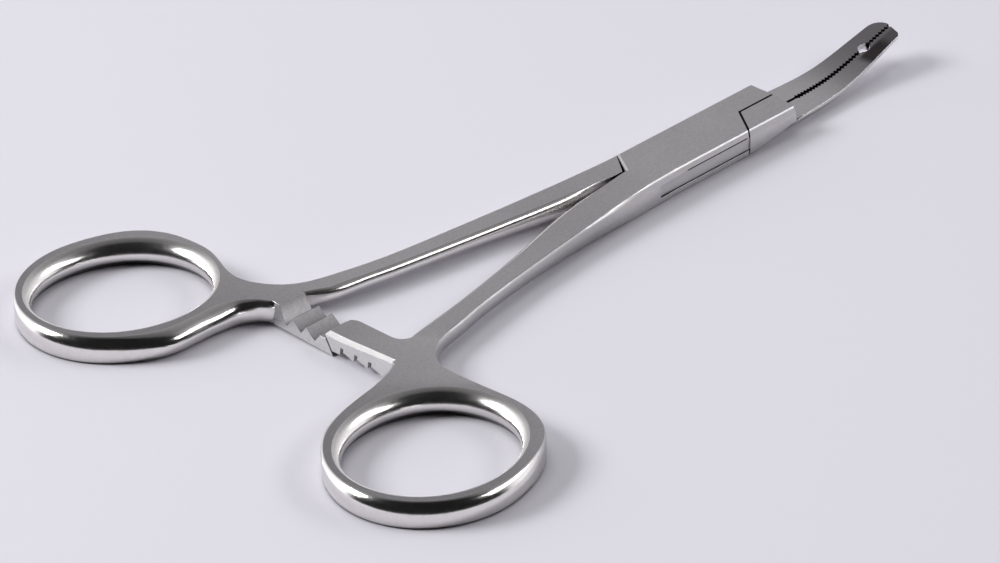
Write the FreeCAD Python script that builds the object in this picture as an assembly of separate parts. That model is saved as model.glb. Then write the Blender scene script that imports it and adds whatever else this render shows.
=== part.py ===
import FreeCAD, Part
import math
import os

from FreeCAD import Vector

# Box lock forceps with finger rings, a ratchet and upturned jaws. Millimetres.
# X runs along the instrument towards the jaws, Y across it towards the far ring, Z up.
# The origin is on the pivot axis, level with the underside of the rings and the box.
# Heights with the word drop are measured down from the top flat.

# Overall sizes, which place the rings behind the pivot and apart from each other
overall_length = 139.32
overall_width = 85.66
jaw_tip_x = 44.75
full_height = 4.2
slim_height = 2.2
mid_height = full_height / 2
ring_back_reach = 14.67
ring_side_reach = 13.83
ring_x = round(jaw_tip_x - overall_length + ring_back_reach, 3)
ring_y = round(overall_width / 2 - ring_side_reach, 3)

# Finger rings, both alike and mirrored about the X axis
hole_long = 13.5
hole_short = 12.1
hole_round = 1.1
ridge_turn = 65.0
flat_long = 0.8
flat_short = 1.2
rim_round = 0.35
rim_corner = 1.2
ring_tilt = 12.0
hole_power = 2.03
rim_power = 2.0
oval_points = 24
swell = 0.8
swell_angle = 48.0
swell_reach = 40.0

# Necks, where a ring runs into its shank
neck_slope_start = 13.5
neck_slope_end = 27.7
neck_direction = -47.2
drawn_ring_x = -79.9
drawn_ring_y = 29.0
drawn_neck_end_x = -60.0
neck_shift = ring_x - drawn_ring_x
neck_end_x = drawn_neck_end_x + neck_shift
neck_spread = ring_y / drawn_ring_y
ring_leave_outside = 4.0
ring_leave_inside = 266.0
rim_steps = 19

# Shanks: x, inner edge, outer edge and height of the flats, as distances from the X axis
box_end_x = -12.0
shank_length = box_end_x - neck_end_x
first_x = neck_end_x
second_x = box_end_x - shank_length * 19 / 24
third_x = box_end_x - shank_length * 13 / 24
fourth_x = box_end_x - shank_length * 7 / 24
last_x = -7.0
near_stations = [(first_x, 8.1 * neck_spread, 11.0 * neck_spread, slim_height),
                 (second_x, 6.5, 8.65, slim_height), (third_x, 4.0, 6.7, slim_height),
                 (fourth_x, 1.2, 5.4, 2.85), (box_end_x, -0.3, 4.5, full_height),
                 (last_x, -0.4, 4.3, full_height)]
far_stations = [(first_x, 9.4 * neck_spread, 11.6 * neck_spread, slim_height),
                (second_x, 7.45, 9.35, slim_height), (third_x, 5.55, 7.85, slim_height),
                (fourth_x, 3.4, 6.2, 2.85), (box_end_x, 0.75, 4.45, 4.0), (last_x, 0.75, 4.3, full_height)]

# Knots of the necks at the drawn place of the rings: x, y, and on the inside the bulge of the side
near_neck_inside = [(-64.5, 9.5, 1.0), (-69.5, 12.3, 1.0), (-76.0, 14.6, 1.0)]
far_neck_inside = [(-64.5, 10.9, 0.5), (-66.3, 11.2, 0.5), (-67.7, 11.2, 0.5), (-68.4, 11.5, 0.6),
                   (-68.9, 12.0, 0.8), (-69.6, 13.0, 0.9), (-70.5, 13.9, 1.1), (-71.9, 14.9, 1.2),
                   (-74.0, 15.5, 1.3), (-77.0, 15.8, 1.3)]
near_neck_outside = [(-65.9, 19.2), (-65.2, 15.6), (-62.8, 12.7)]
far_neck_outside = [(-68.0, 18.6), (-66.6, 15.6), (-63.6, 12.9)]
inner_round = 1.0
outer_round = 0.55
inner_round_end = 0.05
round_end_x = -22.0
shank_spans = 12
side_steps = 4
side_share = 0.92
round_blend = 30.0
bevel_start_x = -24.0
cut_margin = 0.04

# Ratchet arms
arm_near_x = -68.6 + neck_shift
arm_width = 4.6
arm_root = 12.6 * neck_spread
arm_fillet = 1.8
front_gusset_y = 8.15 * neck_spread
arm_back_fillet = 1.0
back_gusset_y = 12.2 * neck_spread
arm_far_round = 1.9
tip_edge = 0.5
tooth_pitch = 2.6
tooth_count = 3
tip_slant = 1.5
arm_draft = 0.6
upper_tip_y = 1.5
upper_first_tooth = 1.45
upper_tip_drop = 3.4
upper_notch_drop = 2.4
upper_notch_width = 0.6
upper_ramp_drop = 2.9
upper_edge_bevel = 0.35
lower_root_y = 10.66
lower_root_end_y = 9.03
lower_root_notch_y = 8.55
lower_root_notch_drop = 3.0
lower_root_end_drop = 2.7
lower_first_tooth = 2.4
lower_crest_drop = 1.65
lower_crest_fall = 0.2
lower_ramp_run = 1.1
lower_ramp_drop = 0.95
lower_notch_run = 1.75
lower_notch_drop = 1.35
lower_under_drop = 4.05
lower_under_root_drop = 3.6
ramp_gap = 0.25

# Box lock
box_half_width = 4.3
box_bevel = 0.6
box_bevel_height = 0.7
box_side_bulge = 0.15
box_start_x = -12.6
box_near_start_x = -7.0
shoulder_x = 19.1
shoulder_slant = 0.15
shoulder_run = 0.8
under_taper_x = 6.0
under_taper_rise = 2.3
distal_seam_x = 11.93
distal_seam_slant = 0.702
proximal_seam_x = -11.67
proximal_seam_slant = 0.656
shank_side_gap = 0.1
top_plate = 0.9
slot_height = 1.85
slot_radius = 11.55
running_clearance = 0.03
tang_end_clearance = 0.1
tang_half_width = 4.85
seam_gap = 0.26
seam_y = 0.3
shank_end_gap = 0.5
pin_radius = 1.5

# Jaws: x, half width and drop of the upper face
jaw_stations = [(6.0, 4.3, 2.4), (17.0, 4.3, 2.4), (24.1, 4.2, 2.4), (31.5, 3.83, 1.95), (34.8, 3.56, 1.27),
                (40.1, 3.0, -0.19), (45.3, 2.6, -1.5)]
jaw_corner = 2.2
jaw_near_corner = 0.5
jaw_tip_slant = 0.32
jaw_side_room = 1.0
tip_side_room = 0.1
jaw_edge = 0.45
jaw_depth_root = 1.6
jaw_depth_tip = 1.0
slit_start = 0.6
slit_root = 0.6
slit_tip = 0.06
serration_start = 24.0
serration_pitch = 0.65
serration_depth = 0.36
eye_x = 38.9
eye_radius = 0.92
eye_reach = 4.0


def prism(points, low=-full_height, high=2 * full_height):
    """Straight column over a closed plan outline."""
    corners = [Vector(x, y, low) for x, y in points]
    face = Part.Face(Part.makePolygon(corners + [corners[0]]))
    return face.extrude(Vector(0, 0, high - low))


def mirrored(shape):
    """The same shape on the other side of the X axis."""
    return shape.mirror(Vector(0, 0, 0), Vector(0, 1, 0))


def oval_point(long_half, short_half, degrees, power):
    """Point of a superellipse about the far ring's centre, by its angle from the long axis."""
    tilt = math.radians(-ring_tilt)
    angle = math.radians(degrees)
    p = long_half * math.copysign(abs(math.cos(angle)) ** (2 / power), math.cos(angle))
    q = short_half * math.copysign(abs(math.sin(angle)) ** (2 / power), math.sin(angle))
    return ring_x + p * math.cos(tilt) - q * math.sin(tilt), ring_y + p * math.sin(tilt) + q * math.cos(tilt)


def oval(long_half, short_half, z):
    """Closed superellipse of the far ring at one height."""
    turns = [360 * step / oval_points for step in range(oval_points)]
    points = [Vector(*oval_point(long_half, short_half, turn, hole_power), z) for turn in turns]
    curve = Part.BSplineCurve()
    curve.interpolate(Points=points, PeriodicFlag=True)
    return Part.Wire(curve.toShape())


def ring_hole():
    """Finger hole, drawn in from both faces by rounds that meet in a ridge at mid height."""
    top = math.radians(ridge_turn)
    sections = []
    for step in range(-side_steps, side_steps + 1):
        turn = top * (1 - abs(step) / side_steps)
        inward = hole_round * math.sin(turn) / math.sin(top)
        rise = math.copysign(mid_height * (math.cos(turn) - math.cos(top)) / (1 - math.cos(top)), step)
        sections.append(oval(hole_long - inward, hole_short - inward, mid_height + rise))
    return Part.makeLoft(sections, True, True)


def smooth_station(stations, x):
    """Sizes at x on smooth curves through the stations, by Hermite pieces with mean slopes."""
    last = len(stations) - 1
    left = max(i for i in range(last) if stations[i][0] <= x or i == 0)
    span = stations[left + 1][0] - stations[left][0]
    t = (x - stations[left][0]) / span
    values = [x]
    for column in range(1, len(stations[0])):
        def slope(i):
            before, after = stations[max(i - 1, 0)], stations[min(i + 1, last)]
            return (after[column] - before[column]) / (after[0] - before[0])

        start, end = stations[left][column], stations[left + 1][column]
        value = start * (1 + 2 * t) * (1 - t) ** 2 + end * t ** 2 * (3 - 2 * t)
        value += span * (slope(left) * t * (1 - t) ** 2 - slope(left + 1) * t ** 2 * (1 - t))
        values.append(value)
    return values


def share_between(value, start, end):
    """How far a value has gone from start to end, held between 0 and 1."""
    return min(1.0, max(0.0, (value - start) / (end - start)))


def local_height(stations, x, y):
    """Thickness of a half at a place in plan: full at the ring, slim at the neck, then by the stations."""
    if x > neck_end_x:
        return smooth_station(stations, x)[3]
    turn = math.radians(neck_direction)
    along = (x - ring_x) * math.cos(turn) + (y - ring_y) * math.sin(turn)
    return full_height + (slim_height - full_height) * share_between(along, neck_slope_start, neck_slope_end)


def flat_outline(stations, inside, outside):
    """Knots round the flats of a half: x, y, bulge of the side, and height share of its round."""
    rim_share = rim_corner / mid_height
    first, last = stations[0][0], stations[-1][0]
    places = [last + (first - last) * step / shank_spans for step in range(shank_spans + 1)]
    knots = []
    for x in places:
        bulge = inner_round + (inner_round_end - inner_round) * share_between(x, round_end_x, box_start_x)
        knots.append((x, smooth_station(stations, x)[1], bulge, side_share))
    knots += [(x + neck_shift, y * neck_spread, bulge, side_share) for x, y, bulge in inside]
    leave_round = inside[-1][2]
    for step in range(rim_steps + 1):
        degrees = ring_leave_inside + (ring_leave_outside - ring_leave_inside) * step / rim_steps
        away = share_between(abs(degrees - swell_angle), 0, swell_reach)
        extra = swell * math.cos(math.pi / 2 * away) ** 2
        long_half = hole_long + flat_long + extra
        short_half = hole_short + flat_short + extra
        x, y = oval_point(long_half, short_half, degrees, rim_power)
        share = share_between(ring_leave_inside - degrees, 0, round_blend)
        knots.append((x, y, leave_round + (rim_round - leave_round) * share,
                      side_share + (rim_share - side_share) * share))
    knots += [(x + neck_shift, y * neck_spread, outer_round, side_share) for x, y in outside]
    knots += [(x, smooth_station(stations, x)[2], outer_round, side_share) for x in reversed(places)]
    return knots


def side_point(level, bulge, round_height, bevel):
    """Outward shift and drop below the flat at one level of the side: a round, or the bevel of the box."""
    turn = math.pi / 2 * level / side_steps
    shift = bulge * math.sin(turn)
    drop = round_height * (1 - math.cos(turn))
    if bevel > 0 and level > 0:
        box_drop = box_bevel_height + (mid_height - box_bevel_height) * (level - 1) / side_steps
        high = (mid_height - box_drop) / (mid_height - box_bevel_height)
        box_shift = box_bevel + box_side_bulge * (1 - high ** 2)
        shift += (box_shift - shift) * bevel
        drop += (box_drop - drop) * bevel
    return shift, drop


def side_wire(knots, normals, heights, level, above):
    """Closed wire round the half at one level of its side, above or below mid height."""
    points = []
    for (x, y, bulge, share), normal, height in zip(knots, normals, heights):
        bevel = share_between(x, bevel_start_x, box_start_x) if y > seam_y and bulge == outer_round else 0
        half = height / 2 + cut_margin
        shift, drop = side_point(max(level, 0), bulge, share * half, bevel)
        rise = half - drop if level >= 0 else full_height
        points.append(Vector(x, y, mid_height) + normal * shift + Vector(0, 0, rise if above else -rise))
    curve = Part.BSplineCurve()
    curve.interpolate(Points=points)
    return Part.Wire([curve.toShape(), Part.makeLine(points[-1], points[0])])


def handle_blank(stations, inside, outside):
    """Far ring, neck and shank in one, with rounded sides and the flats still too high."""
    knots = flat_outline(stations, inside, outside)
    curve = Part.BSplineCurve()
    curve.interpolate(Points=[Vector(x, y, 0) for x, y, bulge, share in knots])
    normals = []
    for x, y, bulge, share in knots:
        tangent = curve.tangent(curve.parameter(Vector(x, y, 0)))[0]
        normals.append(Vector(-tangent.y, tangent.x, 0))
    normals[0] = Vector(0, -1, 0)
    normals[-1] = Vector(0, 1, 0)
    heights = [local_height(stations, x, y) for x, y, bulge, share in knots]
    levels = range(-1, side_steps + 1)
    wires = [side_wire(knots, normals, heights, level, False) for level in levels]
    wires += [side_wire(knots, normals, heights, level, True) for level in reversed(levels)]
    return Part.makeLoft(wires, True, True)


def neck_slab():
    """Slab that holds the far neck: full height at the ring, sloping to the slim neck."""
    reach = 4 * ring_y
    slim_rise = slim_height / 2
    rises = [(-reach, mid_height), (neck_slope_start, mid_height), (neck_slope_end, slim_rise),
             (reach, slim_rise)]
    slab = profile_slab(rises, -reach, reach)
    slab.rotate(Vector(0, 0, 0), Vector(0, 0, 1), neck_direction)
    slab.translate(Vector(ring_x, ring_y, 0))
    return slab


def handle_envelope(stations):
    """Side profile: full height over the ring, sloping to the slim neck, then by the shank's stations."""
    reach = 4 * ring_y
    left = Part.makeBox(reach, 2 * reach, full_height, Vector(neck_end_x - reach, -reach, 0))
    grip = neck_slab().common(left)
    last = stations[-1][0]
    places = [neck_end_x + (last - neck_end_x) * step / shank_spans for step in range(shank_spans + 1)]
    shank = profile_slab([(x, smooth_station(stations, x)[3] / 2) for x in places], -reach, reach)
    return grip.fuse(shank)


def profile_slab(rises, start_y, end_y):
    """Slab across the part, symmetric about mid height, from its half heights along X."""
    upper = [Vector(x, start_y, mid_height + rise) for x, rise in rises]
    lower = [Vector(x, start_y, mid_height - rise) for x, rise in reversed(rises)]
    return Part.Face(Part.makePolygon(upper + lower + [upper[0]])).extrude(Vector(0, end_y - start_y, 0))


def handle(stations, inside, outside):
    """Far ring, neck and shank."""
    return handle_blank(stations, inside, outside).common(handle_envelope(stations)).cut(ring_hole())


def arm_gusset(x, direction, size, edge_y):
    """Concave corner between one side of a ratchet arm and the neck of the far half, full height."""
    centre = Vector(x + direction * size, edge_y - size, 0)
    bend = centre + Vector(-direction, 1, 0) * (size * math.sqrt(0.5))
    a = Vector(x, edge_y - size, 0)
    b = Vector(x + direction * size, edge_y, 0)
    inner = Vector(x + direction * size, edge_y + size, 0)
    root = Vector(x - direction * size, edge_y + size, 0)
    side = Vector(x - direction * size, edge_y - size, 0)
    edges = [Part.Arc(a, bend, b).toShape(), Part.makeLine(b, inner), Part.makeLine(inner, root),
             Part.makeLine(root, side), Part.makeLine(side, a)]
    return Part.Face(Part.Wire(edges)).extrude(Vector(0, 0, full_height))


def arm_gussets(stations):
    """Rounded corners of a ratchet arm on the far half, cut to the thickness of its neck."""
    front = arm_gusset(arm_near_x + arm_width, 1, arm_fillet, front_gusset_y)
    back = arm_gusset(arm_near_x - arm_draft / 2, -1, arm_back_fillet, back_gusset_y)
    return front.fuse(back).common(handle_envelope(stations))


def arm_plan(tip_y):
    """Column over the plan of a ratchet arm, rounded at the far corner of its tip."""
    near, far = arm_near_x - arm_draft, arm_near_x + arm_width
    turn = arm_far_round * (1 - math.sqrt(0.5))
    root = tip_y + 2 * arm_root
    a, b = Vector(near, root, 0), Vector(near, tip_y, 0)
    c, d = Vector(far - arm_far_round, tip_y, 0), Vector(far, tip_y + arm_far_round, 0)
    e = Vector(far, root, 0)
    bend = Vector(far - turn, tip_y + turn, 0)
    edges = [Part.makeLine(a, b), Part.makeLine(b, c), Part.Arc(c, bend, d).toShape(), Part.makeLine(d, e),
             Part.makeLine(e, a)]
    return Part.Face(Part.Wire(edges)).extrude(Vector(0, 0, full_height))


def arm(profile, tip_y):
    """Ratchet arm of the far half from its side outline in Y and Z, its top in line with the neck."""
    near = arm_near_x - arm_draft
    corners = [Vector(near, y, z) for y, z in profile]
    body = Part.Face(Part.makePolygon(corners + [corners[0]])).extrude(Vector(arm_width + arm_draft, 0, 0))
    start = -2 * arm_root
    wedge = [Vector(near, start, 0), Vector(near, start, full_height),
             Vector(arm_near_x, start, full_height)]
    outside = Part.Face(Part.makePolygon(wedge + [wedge[0]])).extrude(Vector(0, 4 * arm_root, 0))
    reach = 4 * arm_root
    low = Part.makeBox(2 * reach, 2 * reach, mid_height, Vector(arm_near_x - reach, -reach, 0))
    return body.common(arm_plan(tip_y)).cut(outside).common(neck_slab().fuse(low))


def arm_bevel():
    """Room beyond the bevel on the near top edge of the upper arm, sloping with the neck, then level."""
    turn = math.radians(neck_direction)
    bend_y = ring_y + (neck_slope_end - (arm_near_x - ring_x) * math.cos(turn)) / math.sin(turn)
    reach = arm_draft + upper_edge_bevel
    wires = []
    for y in (arm_root, bend_y, -2 * upper_tip_y):
        edge = Vector(arm_near_x, y, mid_height + local_height(near_stations, arm_near_x, y) / 2)
        low = edge + Vector(-reach, 0, -reach - upper_edge_bevel)
        high = edge + Vector(reach + upper_edge_bevel, 0, reach)
        wires.append(Part.makePolygon([low, high, edge + Vector(-reach, 0, reach), low]))
    return Part.makeLoft(wires, True, True)


def upper_arm():
    """Arm of the near half on the far side, teeth down, steep faces towards the ring."""
    tip = full_height - upper_tip_drop
    nose = full_height - (full_height - slim_height) / 2 - tip_edge
    edge_y = -upper_tip_y + tip_edge
    profile = [(arm_root, full_height), (edge_y, full_height), (edge_y, nose + tip_edge),
               (-upper_tip_y, nose), (-upper_tip_y + tip_slant, tip)]
    for number in range(tooth_count):
        y = upper_first_tooth + number * tooth_pitch
        profile.append((y, tip))
        profile.append((y, full_height - upper_notch_drop))
        profile.append((y + upper_notch_width, full_height - upper_notch_drop))
        profile.append((y + upper_notch_width, full_height - upper_ramp_drop))
    profile.append((upper_first_tooth + tooth_count * tooth_pitch, tip))
    profile.append((arm_root, tip))
    return arm(profile, -upper_tip_y).cut(arm_bevel())


def lower_arm():
    """Arm of the far half, teeth up, steep faces towards the far ring."""
    under = full_height - lower_under_drop
    nose = full_height - (full_height - slim_height) / 2 - tip_edge
    slope = tip_slant / (nose - full_height + upper_tip_drop)
    profile = [(arm_root, full_height - lower_under_root_drop), (arm_root, full_height),
               (lower_root_y, full_height), (lower_root_end_y, full_height - lower_root_end_drop),
               (lower_root_notch_y, full_height - lower_root_notch_drop)]
    for number in reversed(range(tooth_count)):
        y = lower_first_tooth + number * tooth_pitch
        crest = full_height - lower_crest_drop - lower_crest_fall * (tooth_count - 1 - number)
        profile.append((y, crest))
        if number > 0:
            profile.append((y - lower_ramp_run, crest - lower_ramp_drop))
            profile.append((y - lower_notch_run, crest - lower_notch_drop))
    face_y = upper_tip_y + ramp_gap
    profile.append((face_y - slope * (nose - crest), crest))
    tip_y = face_y - slope * (nose - under)
    profile.append((tip_y, under))
    return arm(profile, tip_y)


def shoulder_end():
    """Room beyond the slanting end of the box on the near side, rounded into the near jaw."""
    half = box_half_width
    corner = Vector(shoulder_x - shoulder_slant * half, -half, 0)
    side = Vector(corner.x - shoulder_run, -2 * half, 0)
    far = Vector(shoulder_x + half, -2 * half, 0)
    start = Vector(shoulder_x, 0, 0)
    end = Vector(shoulder_x + half, 0, 0)
    edges = [Part.makeLine(start, corner), Part.makeLine(corner, side), Part.makeLine(side, far),
             Part.makeLine(far, end), Part.makeLine(end, start)]
    return Part.Face(Part.Wire(edges)).extrude(Vector(0, 0, full_height))


def under_taper():
    """Room below the box, where its underside rises from the flat towards the shoulder."""
    wide = 2 * box_half_width
    corners = [Vector(under_taper_x, -wide, 0), Vector(shoulder_x, -wide, under_taper_rise),
               Vector(shoulder_x, -wide, 0)]
    return Part.Face(Part.makePolygon(corners + [corners[0]])).extrude(Vector(0, 2 * wide, 0))


def box_envelope():
    """Outside of the box, shared by both halves: flats, bevels and slightly bulged sides."""
    half = box_half_width
    wide = half + box_bevel
    high = full_height - box_bevel_height
    low = box_bevel_height
    side = wide + box_side_bulge
    x = box_start_x
    right = Part.Arc(Vector(x, wide, high), Vector(x, side, mid_height), Vector(x, wide, low)).toShape()
    left = Part.Arc(Vector(x, -wide, low), Vector(x, -side, mid_height), Vector(x, -wide, high)).toShape()
    edges = [Part.makeLine(Vector(x, -half, full_height), Vector(x, half, full_height)),
             Part.makeLine(Vector(x, half, full_height), Vector(x, wide, high)), right,
             Part.makeLine(Vector(x, wide, low), Vector(x, half, 0)),
             Part.makeLine(Vector(x, half, 0), Vector(x, -half, 0)),
             Part.makeLine(Vector(x, -half, 0), Vector(x, -wide, low)), left,
             Part.makeLine(Vector(x, -wide, high), Vector(x, -half, full_height))]
    block = Part.Face(Part.Wire(edges)).extrude(Vector(shoulder_x - x, 0, 0))
    return block.cut([shoulder_end(), under_taper()])


def jaw_section(x, half, drop):
    """Jaw pair at one station: flat above, thin edges, rounded underside."""
    share = (x - jaw_stations[0][0]) / (jaw_tip_x - jaw_stations[0][0])
    depth = jaw_depth_root + (jaw_depth_tip - jaw_depth_root) * share
    top = full_height - drop
    a = Vector(x, half, top)
    b = Vector(x, half, top - jaw_edge)
    c = Vector(x, -half, top - jaw_edge)
    d = Vector(x, -half, top)
    under = Part.Arc(b, Vector(x, 0, top - depth), c).toShape()
    return Part.Wire([Part.makeLine(d, a), Part.makeLine(a, b), under, Part.makeLine(c, d)])


def jaw_tip_outline():
    """Column over the plan of the jaws: far tip corner well rounded, slanting end, near corner clipped."""
    half = jaw_stations[-1][1] + tip_side_room
    root = jaw_stations[0][0]
    wide = jaw_stations[0][1] + jaw_side_room
    near_x = jaw_tip_x - jaw_tip_slant * half
    turn = jaw_corner * (1 - math.sqrt(0.5))
    a = Vector(root, -wide, 0)
    b = Vector(near_x - jaw_near_corner, -half, 0)
    c = Vector(near_x, -half + jaw_near_corner, 0)
    d = Vector(jaw_tip_x, half - jaw_corner, 0)
    e = Vector(jaw_tip_x - jaw_corner, half, 0)
    f = Vector(root, wide, 0)
    bend = Vector(jaw_tip_x - turn, half - turn, 0)
    edges = [Part.makeLine(a, b), Part.makeLine(b, c), Part.makeLine(c, d), Part.Arc(d, bend, e).toShape(),
             Part.makeLine(e, f), Part.makeLine(f, a)]
    return Part.Face(Part.Wire(edges)).extrude(Vector(0, 0, full_height * 2))


def jaw_eye():
    """Round eye through both jaws, square to their upper face."""
    before, after = jaw_stations[4], jaw_stations[5]
    slope = (before[2] - after[2]) / (after[0] - before[0])
    z = full_height - after[2] - slope * (after[0] - eye_x)
    axis = Vector(-slope, 0, 1)
    axis.normalize()
    return Part.makeCylinder(eye_radius, 2 * eye_reach, Vector(eye_x, 0, z) - axis * eye_reach, axis)


def jaw_blank():
    """Both jaws in one, before the slit parts them."""
    body = Part.makeLoft([jaw_section(*station) for station in jaw_stations], True, False)
    return body.common(jaw_tip_outline()).cut(jaw_eye())


def slit_edge(side):
    """Plan points of one serrated edge of the slit, from the shoulder to past the tip."""
    def half_gap(x):
        share = (x - shoulder_x) / (jaw_tip_x - shoulder_x)
        return (slit_root + (slit_tip - slit_root) * share) / 2

    start_x = shoulder_x + slit_start
    points = [(start_x, side * half_gap(shoulder_x)), (serration_start, side * half_gap(serration_start))]
    x = serration_start
    while x < jaw_tip_x:
        points.append((x + serration_pitch / 2, side * (half_gap(x) + serration_depth)))
        points.append((x + serration_pitch, side * half_gap(x + serration_pitch)))
        x += serration_pitch
    return points


def distal_seam(y, gap):
    """X of the slanting seam between the box and the near jaw block."""
    return distal_seam_x + (y - seam_y) * distal_seam_slant + gap


def proximal_seam(y):
    """X of the slanting end of the box plates on the far side."""
    return proximal_seam_x + (y - seam_y) * proximal_seam_slant


def box_half_region():
    """Plan of the box, from the near shank and the far slanting end to the far jaw tip."""
    beyond = 2 * box_half_width
    edge = -seam_y
    points = [(box_near_start_x, -beyond), (distal_seam(-beyond, 0), -beyond),
              (distal_seam(seam_y, 0), seam_y), (shoulder_x + seam_gap, seam_y)]
    points += slit_edge(1)
    points += [(jaw_tip_x + beyond, beyond), (proximal_seam(beyond), beyond), (proximal_seam(edge), edge),
               (box_near_start_x, edge)]
    return prism(points)


def insert_block_region():
    """Plan of the near jaw and its block in front of the slanting seam."""
    beyond = 2 * box_half_width
    edge = seam_y - seam_gap
    points = [(distal_seam(-beyond, seam_gap), -beyond), (distal_seam(edge, seam_gap), edge),
              (shoulder_x + seam_gap, edge)]
    points += slit_edge(-1)
    points += [(jaw_tip_x + beyond, -beyond)]
    return prism(points)


def insert_shank_region():
    """Plan of the far shank up to the slanting end of the box plates."""
    beyond = 2 * ring_y
    end = proximal_seam(seam_y) - shank_end_gap
    points = [(-beyond - beyond, -beyond), (end, -beyond), (end, seam_y),
              (proximal_seam(box_half_width) - shank_side_gap, box_half_width),
              (proximal_seam(beyond) - shank_side_gap, beyond), (-beyond - beyond, beyond)]
    return prism(points)


def slot_room():
    """Round slot in the box half for the tang."""
    floor = full_height - top_plate - slot_height
    return Part.makeCylinder(slot_radius, slot_height, Vector(0, 0, floor))


def tang():
    """Waist of the insert half that passes through the box."""
    floor = full_height - top_plate - slot_height + running_clearance
    height = slot_height - 2 * running_clearance
    disc = Part.makeCylinder(slot_radius - tang_end_clearance, height, Vector(0, 0, floor))
    strip = Part.makeBox(4 * slot_radius, 2 * tang_half_width, full_height,
                         Vector(-2 * slot_radius, -tang_half_width, 0))
    return disc.common(strip)


def box_half():
    """Near ring, near shank, upper ratchet arm, box and far jaw."""
    grip = handle(near_stations, near_neck_inside, near_neck_outside)
    forging = mirrored(grip.fuse([arm_gussets(near_stations), upper_arm()]))
    lock = box_envelope().fuse(jaw_blank()).common(box_half_region())
    pin_hole = Part.makeCylinder(pin_radius, full_height)
    return forging.fuse(lock).cut(slot_room()).cut(pin_hole).removeSplitter()


def insert_half():
    """Far ring, far shank, lower ratchet arm, tang and near jaw."""
    grip = handle(far_stations, far_neck_inside, far_neck_outside).common(insert_shank_region())
    forging = grip.fuse(lower_arm())
    block = box_envelope().fuse(jaw_blank()).common(insert_block_region())
    bore = Part.makeCylinder(pin_radius + running_clearance, full_height)
    return forging.fuse([block, tang()]).cut(bore).removeSplitter()


def pivot_pin():
    """Pin riveted into both plates of the box and ground flush."""
    return Part.makeCylinder(pin_radius, full_height)


def main():
    os.makedirs("parts", exist_ok=True)
    for name, build in (("box_half", box_half), ("insert_half", insert_half), ("pivot_pin", pivot_pin)):
        shape = build()
        print(name, shape.ShapeType, "solids", len(shape.Solids), "valid", shape.isValid(),
              "volume", round(shape.Volume, 2), "box", shape.BoundBox)
        if len(shape.Solids) == 1:
            shape = shape.Solids[0]
        shape.exportStep("parts/" + name + ".step")


main()
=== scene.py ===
import math

import bpy
import numpy as np
from mathutils import Matrix, Vector


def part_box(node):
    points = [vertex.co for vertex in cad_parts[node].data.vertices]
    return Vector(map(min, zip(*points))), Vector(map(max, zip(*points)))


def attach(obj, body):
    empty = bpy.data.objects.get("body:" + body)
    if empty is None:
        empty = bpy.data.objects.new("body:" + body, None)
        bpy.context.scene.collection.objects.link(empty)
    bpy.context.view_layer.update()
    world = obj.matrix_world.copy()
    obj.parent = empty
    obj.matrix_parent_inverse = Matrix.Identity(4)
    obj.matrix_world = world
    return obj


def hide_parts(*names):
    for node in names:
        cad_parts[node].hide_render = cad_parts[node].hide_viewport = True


# Box lock forceps on a pale table. Metres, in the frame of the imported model.

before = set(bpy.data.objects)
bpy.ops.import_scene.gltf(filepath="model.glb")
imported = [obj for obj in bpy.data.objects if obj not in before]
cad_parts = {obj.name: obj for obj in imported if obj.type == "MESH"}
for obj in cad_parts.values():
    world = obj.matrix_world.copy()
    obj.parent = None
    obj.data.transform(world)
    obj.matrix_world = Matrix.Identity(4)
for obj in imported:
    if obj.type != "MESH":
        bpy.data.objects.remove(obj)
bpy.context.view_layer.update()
print("frame loaded", sorted(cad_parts))

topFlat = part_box("pivot_pin")[1].z  # level of the flats of the rings and the box


# Camera

camera = {
    "elevation": math.radians(30.3),
    "azimuth": math.radians(45.7),  # angle of the view's ground track from +Y towards +X
    "roll": math.radians(-0.9),
    "distance": 0.66667,
    "aim": (-0.0452, -0.00781),  # point of the upper flats at the picture's centre
    "lens": 180.0,
    "sensor": 36.0,
    "clip": (0.01, 30.0),
}


def heading(azimuth, elevation):
    # unit vector at an azimuth from +Y towards +X and an elevation, in radians
    level = math.cos(elevation)
    return Vector((level * math.sin(azimuth), level * math.cos(azimuth), math.sin(elevation)))


def makeCamera(spec):
    # the camera looks down at the aim point along its azimuth, then rolls about that line
    azimuth, roll = spec["azimuth"], spec["roll"]
    forward = heading(azimuth, -spec["elevation"])
    right = Vector((math.cos(azimuth), -math.sin(azimuth), 0.0))
    up = right.cross(forward)
    rolledRight = right * math.cos(roll) + up * math.sin(roll)
    rolledUp = up * math.cos(roll) - right * math.sin(roll)
    data = bpy.data.cameras.new("camera")
    data.lens = spec["lens"]
    data.sensor_width = spec["sensor"]
    data.clip_start, data.clip_end = spec["clip"]
    cam = bpy.data.objects.new("camera", data)
    turn = Matrix((rolledRight, rolledUp, -forward)).transposed()
    place = Vector((*spec["aim"], topFlat)) - forward * spec["distance"]
    cam.matrix_world = Matrix.Translation(place) @ turn.to_4x4()
    bpy.context.scene.collection.objects.link(cam)
    bpy.context.scene.camera = cam


makeCamera(camera)
print("camera placed")


# Shader building

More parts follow.
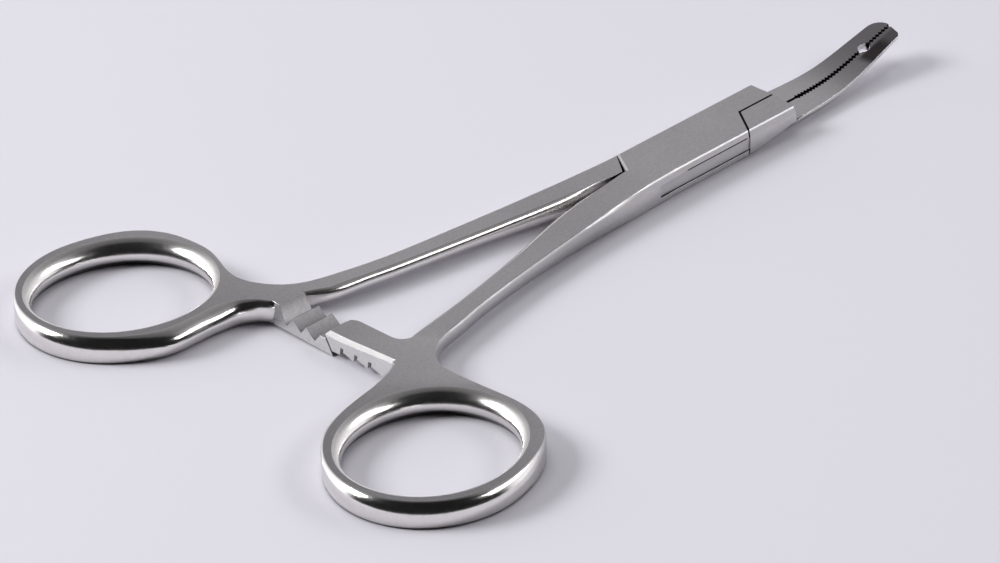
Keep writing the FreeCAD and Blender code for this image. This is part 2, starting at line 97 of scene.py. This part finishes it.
class Wire:
    # one socket of a shader; sums, differences and products of it add Math nodes
    def __init__(self, tree, socket):
        self.tree, self.socket = tree, socket

    def maths(self, operation, *others):
        node = self.tree.nodes.new("ShaderNodeMath")
        node.operation = operation
        for place, value in zip(node.inputs, (self, *others)):
            if isinstance(value, Wire):
                self.tree.links.new(value.socket, place)
            else:
                place.default_value = value
        return Wire(self.tree, node.outputs[0])

    def __add__(self, other):
        return self.maths("ADD", other)

    def __mul__(self, other):
        return self.maths("MULTIPLY", other)

    def __sub__(self, other):
        return self.maths("SUBTRACT", other)

    def __rsub__(self, other):
        return self.maths("SUBTRACT", other).maths("MULTIPLY", -1.0)

    __radd__ = __add__
    __rmul__ = __mul__

    def step(self, start, end):
        # 0 before start, 1 after end, smooth between
        node = self.tree.nodes.new("ShaderNodeMapRange")
        node.interpolation_type = "SMOOTHSTEP"
        self.tree.links.new(self.socket, node.inputs["Value"])
        node.inputs["From Min"].default_value = start
        node.inputs["From Max"].default_value = end
        return Wire(self.tree, node.outputs["Result"])


class Shop:
    # makes nodes in one tree: type, settings first, then socket values or links by name or number
    def __init__(self, tree):
        self.tree = tree

    def node(self, kind, settings, sockets):
        node = self.tree.nodes.new(kind)
        for name, value in settings.items():
            setattr(node, name, value)
        for name, value in sockets.items():
            place = node.inputs[name]
            if isinstance(value, Wire):
                self.tree.links.new(value.socket, place)
            else:
                place.default_value = value
        return node

    def wire(self, kind, settings, sockets, output=0):
        return Wire(self.tree, self.node(kind, settings, sockets).outputs[output])

    def coordinates(self, kind="Object"):
        # object coordinates keep a pattern on its piece; Generated is the direction, for the world alone
        return self.wire("ShaderNodeTexCoord", {}, {}, kind)

    def parts(self, vector):
        node = self.node("ShaderNodeSeparateXYZ", {}, {0: vector})
        return [Wire(self.tree, socket) for socket in node.outputs]

    def noise(self, stretch, scale, detail):
        places = self.wire("ShaderNodeMapping", {}, {"Vector": self.coordinates(), "Scale": stretch})
        return self.wire("ShaderNodeTexNoise", {}, {"Vector": places, "Scale": scale, "Detail": detail})

    def blend(self, share, first, second, kind="MIX"):
        # mix by a wire of two colours, each a wire or three numbers; the colour sockets are 6, 7 and out 2
        first, second = (colour if isinstance(colour, Wire) else (*colour, 1) for colour in (first, second))
        return self.wire("ShaderNodeMix", {"data_type": "RGBA", "blend_type": kind},
                         {0: share, 6: first, 7: second}, 2)

    def awayFrom(self, x, y, start, end):
        # distance in plan from a straight line between two points
        run, rise = end[0] - start[0], end[1] - start[1]
        length = math.hypot(run, rise)
        along = (x - start[0]) * (run / length) + (y - start[1]) * (rise / length)
        over = (along - length / 2).maths("ABSOLUTE") - length / 2
        across = (x - start[0]) * (rise / length) - (y - start[1]) * (run / length)
        return over.maths("MAXIMUM", across.maths("ABSOLUTE"))

    def rounded(self, lift, radius):
        # direction with edges eased over a radius and raised by lift, so a wall shades like a round bar
        flat = self.wire("ShaderNodeBevel", {"samples": 4}, {"Radius": radius})
        up = self.wire("ShaderNodeCombineXYZ", {}, {"Z": lift})
        leaning = self.wire("ShaderNodeVectorMath", {"operation": "ADD"}, {0: flat, 1: up})
        return self.wire("ShaderNodeVectorMath", {"operation": "NORMALIZE"}, {0: leaning})


# Shading of the flats, the walls and the jaws

seamsAndPaintedLight = {
    "fadeSpan": (-0.088, -0.052), "ringShadeTone": (0.68, 0.68, 0.69),  # painted shade: the rings' flats are darker than the shanks', standing in for the dark they reflect
    "seams": (((0.00883, -0.0043), (0.01197, 0.00017)), ((0.01197, 0.00017), (0.0189, 0.00017))),
    "seamReach": (0.00015, 0.00021), "seamTone": (0.012, 0.011, 0.011),
    "highlightLip": ((-0.00885, 0.0042), (-0.01120, 0.00042)),  # painted highlight: bright edge where the far shank enters the box
    "highlightReach": (0.00014, 0.00022), "highlightTone": (0.98, 0.97, 0.98),
}
outerWall = {
    "easing": 0.00012,
    "ringEnd": (-0.077, -0.069),  # rings and necks shade round up to here, the shanks do not
    "from": 0.0013, "rise": 300.0,  # height at which the lean starts, and its growth per metre
    "shankFrom": 0.0028, "shankRise": 120.0, "shankRough": 0.05,
    # painted contact shadow: walls darken to the shade colour at the foot, where they meet the table; the
    # wall's seam line takes the same colour
    "contact": (0.0000, 0.0005), "contactEnd": (-0.068, -0.063), "shade": (0.03, 0.028, 0.028),
    # painted shade: the near side of the shanks is darkened, which dims its highlights
    "outerSide": (-0.0045, -0.0025), "outerTone": (0.57, 0.57, 0.59), "outerRough": 0.18,
    "boxSpan": (-0.024, -0.012), "boxEnd": (0.0188, 0.0200), "boxRough": 0.17, "boxTone": (0.72, 0.72, 0.74),
    "bevelSpan": (topFlat - 0.0008, topFlat - 0.0006), "bevelDrop": 0.32,
    "bevelRim": (topFlat - 0.00028, topFlat - 0.00016),
    "seamLevel": topFlat - 0.00078, "seamHalf": 0.0001, "seamSoft": 0.00004,
    "seamStart": (-0.0048, -0.0044), "seamEnd": (0.0079, 0.0080), "seamSide": (-0.0042, -0.0041),
}
# inside the rings the painted shade covers the lower band of the wall, which faces down towards the shadowed
# table
insideWall = {**outerWall, "ringEnd": (-0.066, -0.060), "from": 0.0014, "contact": (0.0007, 0.0013),
              "shade": (0.085, 0.080, 0.082)}
jawTip = {
    # painted reflection: the jaws darken towards their tips, with a darker patch on the near jaw around the
    # eye
    "span": (0.026, 0.044), "tone": (0.62, 0.60, 0.62),
    "reflectionPatch": (0.0360, 0.0376), "side": (-0.0012, -0.0005), "reflectionPatchTone": (0.22, 0.20, 0.20),
    "clear": (0.0405, 0.0425), "clearShare": 0.5,
}
pattern = {
    "grainDetail": 3.0, "grainSpan": (0.35, 0.65), "grainShare": 0.6,
    "cloudDetail": 2.0, "cloudSpan": (0.3, 0.7), "cloudShare": 0.4,
}


def markFlats(shop, spec, tone):
    # flats take painted shade towards the rings, carry the seams of the lock as dark lines, and one painted
    # highlight along a lip
    x, y = shop.parts(shop.coordinates())[:2]
    # painted shade towards the rings
    tone = shop.blend(1 - x.step(*spec["fadeSpan"]), tone, spec["ringShadeTone"], "MULTIPLY")
    for start, end in spec["seams"]:
        gap = shop.awayFrom(x, y, start, end)
        tone = shop.blend(1 - gap.step(*spec["seamReach"]), tone, spec["seamTone"])
    # painted highlight along the lip
    highlightLip = 1 - shop.awayFrom(x, y, *spec["highlightLip"]).step(*spec["highlightReach"])
    return shop.blend(highlightLip, tone, spec["highlightTone"])


def shadeWalls(shop, spec, tone, rough):
    # walls lean by height, take a painted contact shadow at the foot and painted shade on the near side of
    # the shanks, are duller along the shanks and the box, and carry one seam
    x, y, z = shop.parts(shop.coordinates())
    rings = 1 - x.step(*spec["ringEnd"])
    front = x.step(*spec["boxSpan"])
    shanks = (1 - rings) * (1 - front)
    box = front * (1 - x.step(*spec["boxEnd"]))
    outer = (1 - y.step(*spec["outerSide"])) * shanks
    bevel = front * z.step(*spec["bevelSpan"]) * spec["bevelDrop"] * (1 - z.step(*spec["bevelRim"]))
    lift = (z - spec["from"]) * spec["rise"] * rings
    lift = lift + (z - spec["shankFrom"]).maths("MAXIMUM", 0.0) * spec["shankRise"] * shanks
    rough = rough + (1 - rings) * spec["shankRough"] + box * spec["boxRough"] + outer * spec["outerRough"]
    # painted contact shadow at the foot of the walls
    contactShade = (1 - z.step(*spec["contact"])) * (1 - x.step(*spec["contactEnd"]))
    tone = shop.blend(contactShade, tone, spec["shade"])
    # painted shade on the near side of the shanks
    tone = shop.blend(outer, tone, spec["outerTone"], "MULTIPLY")
    level = spec["seamHalf"] - (z - spec["seamLevel"]).maths("ABSOLUTE")
    line = level.step(0.0, spec["seamSoft"]) * x.step(*spec["seamStart"])
    line = line * (1 - x.step(*spec["seamEnd"])) * (1 - y.step(*spec["seamSide"]))
    tone = shop.blend(line, tone, spec["shade"])
    tone = shop.blend(box, tone, spec["boxTone"], "MULTIPLY")
    return tone, rough, shop.rounded(lift - bevel, spec["easing"])


def shadeTips(shop, spec, tone):
    # painted reflection: jaws darken towards their tips, most on the near jaw around the eye
    x, y = shop.parts(shop.coordinates())[:2]
    tone = shop.blend(x.step(*spec["span"]), tone, spec["tone"], "MULTIPLY")
    reflectionPatch = x.step(*spec["reflectionPatch"]) * (1 - y.step(*spec["side"]))
    reflectionPatch = reflectionPatch * (1 - spec["clearShare"] * x.step(*spec["clear"]))
    return shop.blend(reflectionPatch, tone, spec["reflectionPatchTone"], "MULTIPLY")


def steel(name, spec):
    # metal with fine grain, slow clouds of tone and roughness, and a bump from both
    material = bpy.data.materials.new(name)
    material.use_nodes = True
    shader = material.node_tree.nodes["Principled BSDF"]
    shop = Shop(material.node_tree)
    grain = shop.noise(spec["stretch"], spec["grain"], pattern["grainDetail"])
    cloud = shop.noise((1, 1, 1), spec["cloud"], pattern["cloudDetail"])
    share = cloud.step(*pattern["cloudSpan"]) * pattern["cloudShare"]
    share = share + grain.step(*pattern["grainSpan"]) * pattern["grainShare"]
    tone = shop.blend(share, spec["colour"], spec["second"])
    rough = spec["rough"] + (grain - 0.5) * spec["roughGrain"] + (cloud - 0.5) * spec["roughCloud"]
    height = grain * spec["grainHeight"] + cloud * spec["cloudHeight"]
    sockets = {"Height": height, "Strength": 1.0, "Distance": 1.0}
    if "lean" in spec:
        sockets["Normal"] = shop.rounded(spec["lean"], outerWall["easing"])
    if "seamsAndPaintedLight" in spec:
        tone = markFlats(shop, spec["seamsAndPaintedLight"], tone)
    if "wall" in spec:
        tone, rough, sockets["Normal"] = shadeWalls(shop, spec["wall"], tone, rough)
    if "tip" in spec:
        tone = shadeTips(shop, spec["tip"], tone)
    bump = shop.wire("ShaderNodeBump", {}, sockets)
    links = material.node_tree.links
    links.new(tone.socket, shader.inputs["Base Color"])
    links.new(rough.socket, shader.inputs["Roughness"])
    links.new(bump.socket, shader.inputs["Normal"])
    shader.inputs["Metallic"].default_value = 1.0
    return material


# Finishes: two tones of the metal, its roughness, and grain and clouds by count per metre and height

plain = {"roughGrain": 0.08, "roughCloud": 0.05, "grain": 3000.0, "cloud": 160.0, "stretch": (1, 1, 1),
         "grainHeight": 2.0e-6, "cloudHeight": 2.0e-6}
satinFlat = {**plain, "colour": (0.590, 0.576, 0.588), "second": (0.500, 0.490, 0.504), "rough": 0.36,
             "grain": 3400.0, "cloud": 90.0, "stretch": (0.5, 1, 1),
             "grainHeight": 4.5e-6, "cloudHeight": 0.0, "seamsAndPaintedLight": seamsAndPaintedLight}
polished = {**plain, "colour": (0.830, 0.812, 0.802), "second": (0.780, 0.760, 0.748), "rough": 0.15,
            "roughCloud": 0.08, "grain": 1900.0, "cloud": 400.0,
            "grainHeight": 5.0e-6, "cloudHeight": 20.0e-6, "wall": outerWall}
ringInside = {**polished, "rough": 0.21, "wall": insideWall}
jawFace = {**plain, "colour": (0.560, 0.552, 0.560), "second": (0.520, 0.512, 0.524), "rough": 0.25,
           "roughGrain": 0.05, "roughCloud": 0.04, "grain": 4200.0, "cloud": 120.0, "stretch": (0.25, 1, 1),
           "grainHeight": 0.9e-6, "cloudHeight": 4.0e-6, "tip": jawTip}
machined = {**plain, "colour": (0.780, 0.768, 0.764), "second": (0.680, 0.670, 0.668), "rough": 0.42,
            "grain": 3800.0, "stretch": (0.2, 1, 1), "lean": 0.0}
# painted shade: the rib faces are a darker copy of the machined steel, which dims their reflections
shadedRibFace = {**plain, "colour": (0.290, 0.282, 0.290), "second": (0.240, 0.234, 0.242), "rough": 0.44,
           "stretch": (1, 0.2, 1), "grainHeight": 4.0e-6, "lean": 0.0}
# painted shade: the arm's bevel is a darker copy of the machined steel, which tones down its highlight
shadedArmBevel = {**shadedRibFace, "colour": (0.620, 0.612, 0.610), "second": (0.560, 0.552, 0.550), "rough": 0.40,
            "grainHeight": 3.0e-6, "lean": -0.32}
# painted highlight: the walls of the eye get a much lighter steel than the jaws
eyeWallHighlight = {**plain, "colour": (0.95, 0.94, 0.95), "second": (0.9, 0.89, 0.9), "rough": 0.5,
           "roughGrain": 0.05, "cloud": 200.0, "grainHeight": 1.0e-6, "cloudHeight": 0.0}
# painted shade: near-black steel for the walls inside the lock and the jaws' slit, where shade falls
recessShade = {**eyeWallHighlight, "colour": (0.030, 0.028, 0.027), "second": (0.020, 0.019, 0.018), "rough": 0.55,
          "roughGrain": 0.1}
finishes = {"satinFlat": satinFlat, "polished": polished, "ringInside": ringInside,
            "jawFace": jawFace, "machined": machined, "shadedRibFace": shadedRibFace,
            "shadedArmBevel": shadedArmBevel, "eyeWallHighlight": eyeWallHighlight, "recessShade": recessShade}
steels = {name: steel(name, spec) for name, spec in finishes.items()}
order = list(finishes)
print("finishes made")


# The two forged halves

halves = {
    "grid": 1e-7,  # points closer than this are one
    "flatTilt": math.cos(math.radians(9)),  # a flat leans less than this from level
    "ringCentre": (-0.0797, 0.0292),
    "ringReach": 0.0145,
    "armSpan": (-0.0693, -0.0639),
    "armReach": 0.0105,  # half width across the instrument in which both ratchet arms lie
    "slant": 0.2, "ribTurn": 0.25, "bevelTurn": -0.3,  # parts of a face's direction up, across and back
    "boxStart": -0.0135,
    "boxHalfWidth": 0.00478,
    "slotSpan": (0.001, topFlat - 0.0005), "slotTilt": 0.5, "sideTilt": 0.3,
    "jawStart": 0.0192,
    "jawTilt": math.cos(math.radians(24)),
    "slitStart": 0.0125,
    "slitReach": 0.0007, "slitTilt": 0.7,
    "slitZone": 0.0008,  # length of the stretches in which the slit is closed
    "slitFoot": 0.00003,
    "eye": (0.0389, 0.0013), "eyeTilt": 0.8, "eyeClear": 0.00035,
    "crease": math.cos(math.radians(33)),  # a sharper bend than this stays a crisp edge
}


def arrays(mesh, grid):
    # corner points, and each triangle's three corners, with points in one place joined to one
    spots = np.empty(len(mesh.vertices) * 3)
    mesh.vertices.foreach_get("co", spots)
    spots = spots.reshape(-1, 3)
    corners = np.empty(len(mesh.loops), np.int64)
    mesh.loops.foreach_get("vertex_index", corners)
    cells = np.round(spots / grid).astype(np.int64)
    first, joined = np.unique(cells, axis=0, return_index=True, return_inverse=True)[1:]
    tris = joined.reshape(-1)[corners].reshape(-1, 3)
    good = (tris[:, 0] != tris[:, 1]) & (tris[:, 1] != tris[:, 2]) & (tris[:, 0] != tris[:, 2])
    return spots[first], tris[good]


def faceKinds(spots, tris, spec):
    # number of the finish of each face, from its direction and where it lies
    a, b, c = spots[tris[:, 0]], spots[tris[:, 1]], spots[tris[:, 2]]
    normal = np.cross(b - a, c - a)
    normal /= np.maximum(np.linalg.norm(normal, axis=1), 1e-15)[:, None]
    x, y, z = ((a + b + c) / 3).T
    back, across, up = normal.T
    tilt, side = np.abs(up), np.abs(y)
    kinds = np.full(len(tris), order.index("polished"))

    def give(name, where, only=None):
        # finish by name for some faces, or for those of them that have only the named one so far
        if only:
            where = where & (kinds == order.index(only))
        kinds[where] = order.index(name)

    give("satinFlat", tilt > spec["flatTilt"])
    ringX, ringY = spec["ringCentre"]
    inward = back * (ringX - x) + across * (np.sign(y) * ringY - y)
    give("ringInside", (np.hypot(x - ringX, side - ringY) < spec["ringReach"]) & (inward > 0), "polished")
    armStart, armEnd = spec["armSpan"]
    inArm = (x > armStart) & (x < armEnd) & (side < spec["armReach"])
    give("machined", inArm, "polished")
    slant = inArm & (up > spec["slant"]) & (up < spec["flatTilt"])
    # painted shade: darker copies of the machined steel on the ribs and the arm's bevel
    give("shadedRibFace", slant & (np.abs(across) > spec["ribTurn"]))
    give("shadedArmBevel", slant & (back < spec["bevelTurn"]))
    give("jawFace", (x > spec["jawStart"]) & (up > spec["jawTilt"]))
    inBox = (x > spec["boxStart"]) & (side < spec["boxHalfWidth"])
    # painted shade on the faces inside the lock and the slit
    give("recessShade", inBox & (tilt < spec["sideTilt"]) & (x < spec["jawStart"]))
    slotLow, slotHigh = spec["slotSpan"]
    inSlot = inBox & (z > slotLow) & (z < slotHigh) & (x < spec["slitStart"])
    give("recessShade", inSlot & (tilt > spec["slotTilt"]))
    give("recessShade", (x > spec["slitStart"]) & (side < spec["slitReach"]) & (tilt < spec["slitTilt"]))
    eyeX, eyeReach = spec["eye"]
    inEye = (np.hypot(x - eyeX, y) < eyeReach) & (side > spec["eyeClear"])
    # painted highlight on the walls of the eye
    give("eyeWallHighlight", inEye & (tilt < spec["eyeTilt"]))
    return kinds, normal


def closeSlit(spots, spec):
    # lower edge of the slit's wall drawn to the middle, so no light comes through between the teeth
    x, y, z = spots.T
    near = np.flatnonzero((x > spec["slitStart"]) & (np.abs(y) < spec["slitReach"]))
    zone = np.floor(x / spec["slitZone"]).astype(int)
    for step in np.unique(zone[near]):
        here = near[zone[near] == step]
        middle = (z[here].min() + z[here].max()) / 2
        low = here[z[here] < middle]
        spots[low, 1] = np.sign(np.mean(y[near])) * spec["slitFoot"]


def crispEdges(mesh, normal, kinds, crease):
    # edges that bend sharply, part two finishes or don't join two faces, and how many of the last there are
    edges = np.empty(len(mesh.loops), np.int64)
    mesh.loops.foreach_get("edge_index", edges)
    rank = np.argsort(edges, kind="stable")
    count = np.bincount(edges, minlength=len(mesh.edges))
    start = np.cumsum(count) - count
    pair = count == 2
    one, two = rank[start[pair]] // 3, rank[start[pair] + 1] // 3
    bend = np.einsum("ij,ij->i", normal[one], normal[two])
    crisp = np.ones(len(mesh.edges), bool)
    crisp[pair] = (bend < crease) | (kinds[one] != kinds[two])
    return crisp, int((~pair).sum())


def dressed(node, spec):
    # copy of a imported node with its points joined, its finishes by face and its crisp edges marked
    spots, tris = arrays(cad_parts[node].data, spec["grid"])
    closeSlit(spots, spec)
    kinds, normal = faceKinds(spots, tris, spec)
    mesh = bpy.data.meshes.new(node + "_dressed")
    mesh.from_pydata(spots, [], tris)
    for name in order:
        mesh.materials.append(steels[name])
    mesh.polygons.foreach_set("material_index", kinds.astype(np.int32))
    mesh.polygons.foreach_set("use_smooth", np.ones(len(tris), bool))
    crisp, odd = crispEdges(mesh, normal, kinds, spec["crease"])
    mesh.attributes.new("sharp_edge", "BOOLEAN", "EDGE").data.foreach_set("value", crisp)
    mesh.update()
    piece = bpy.data.objects.new(node + "_dressed", mesh)
    bpy.context.scene.collection.objects.link(piece)
    print(node, "faces", len(tris), "open or odd edges", odd)
    return piece


for node in ("box_half", "insert_half"):
    piece = dressed(node, halves)
    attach(piece, node)
    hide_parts(node)
print("halves dressed")


# Pivot pin, ground flush with the flats

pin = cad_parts["pivot_pin"]
pin.data.materials.clear()
pin.data.materials.append(steels["satinFlat"])
print("pin dressed")


# Table

table = {"half": 4.0, "colour": (0.730, 0.716, 0.776), "rough": 0.6}


def makeTable(spec):
    # level sheet under the instrument, without gloss, so that it shows its own tone and the shadows
    mesh = bpy.data.meshes.new("table")
    s = spec["half"]
    mesh.from_pydata([(-s, -s, 0), (s, -s, 0), (s, s, 0), (-s, s, 0)], [], [(0, 1, 2, 3)])
    floor = bpy.data.objects.new("table", mesh)
    bpy.context.scene.collection.objects.link(floor)
    material = bpy.data.materials.new("paleTable")
    material.use_nodes = True
    shader = material.node_tree.nodes["Principled BSDF"]
    shader.inputs["Base Color"].default_value = (*spec["colour"], 1)
    shader.inputs["Roughness"].default_value = spec["rough"]
    shader.inputs["Specular IOR Level"].default_value = 0.0
    floor.data.materials.append(material)


makeTable(table)


# Lights: softboxes beside the view and across it, one overhead for the table, and a studio around

lampAim = Vector((-0.03, 0, 0))
lampDistance = 1.1
lights = {
    "left": {"azimuth": -46.0, "elevation": 36.0, "size": (0.45, 0.4), "radiance": 13.8, "mirrored": True},
    "top": {"azimuth": -20.0, "elevation": 80.0, "size": (0.7, 0.7), "radiance": 1.9, "mirrored": False},
    "right": {"azimuth": 136.0, "elevation": 37.0, "size": (0.85, 0.28), "radiance": 4.0, "mirrored": True},
}
studio = {
    "horizon": 0.85, "middle": 0.52, "high": 0.27, "top": 0.12,  # brightness by height of the direction
    "middleSpan": (0.0, 0.5), "highSpan": (0.5, 0.78), "topSpan": (0.78, 1.0),
    "left": 0.9, "leftSpan": (0.3, 0.95), "right": 0.4, "rightSpan": (0.4, 0.95),
    "glowStart": (-0.1, 0.2), "glowEnd": (0.7, 0.95),
    "behind": 0.012, "behindSpan": (-0.15, 0.25), "lowSpan": (0.02, 0.08),
    "tint": (1.0, 0.985, 1.01),
}


def softbox(name, spec):
    # panel aimed at the instrument; its power comes from the radiance that it shows
    place = lampAim + lampDistance * heading(math.radians(spec["azimuth"]), math.radians(spec["elevation"]))
    data = bpy.data.lights.new(name, "AREA")
    data.shape = "RECTANGLE"
    data.size, data.size_y = spec["size"]
    data.energy = spec["radiance"] * math.pi * spec["size"][0] * spec["size"][1]
    light = bpy.data.objects.new(name, data)
    light.location = place
    light.visible_glossy = spec["mirrored"]
    light.rotation_euler = (lampAim - place).to_track_quat("-Z", "Y").to_euler()
    bpy.context.scene.collection.objects.link(light)


def makeStudio(spec):
    # brightness of the surroundings by direction: pale at the horizon, with a glow at both sides of the
    # view and dark behind the camera, except close to the horizon
    world = bpy.data.worlds.new("studio")
    world.use_nodes = True
    shop = Shop(world.node_tree)
    x, y, z = shop.parts(shop.coordinates("Generated"))
    sine, cosine = math.sin(camera["azimuth"]), math.cos(camera["azimuth"])
    behind = (x * -sine + y * -cosine).step(*spec["behindSpan"])
    aside = x * -cosine + y * sine
    level = z.step(*spec["middleSpan"]) * (spec["middle"] - spec["horizon"]) + spec["horizon"]
    level = level + z.step(*spec["highSpan"]) * (spec["high"] - spec["middle"])
    level = level + z.step(*spec["topSpan"]) * (spec["top"] - spec["high"])
    glow = (1 - z.step(*spec["glowEnd"])) * z.step(*spec["glowStart"])
    level = level + aside.step(*spec["leftSpan"]) * glow * spec["left"]
    level = level + (aside * -1.0).step(*spec["rightSpan"]) * glow * spec["right"]
    shade = behind * z.step(*spec["lowSpan"])
    level = level * (1 - shade) + shade * spec["behind"]
    background = world.node_tree.nodes["Background"]
    background.inputs["Color"].default_value = (*spec["tint"], 1)
    world.node_tree.links.new(level.socket, background.inputs["Strength"])
    bpy.context.scene.world = world


for name, spec in lights.items():
    softbox(name, spec)
makeStudio(studio)
bpy.context.scene.view_settings.view_transform = "Standard"
print("table and light set")
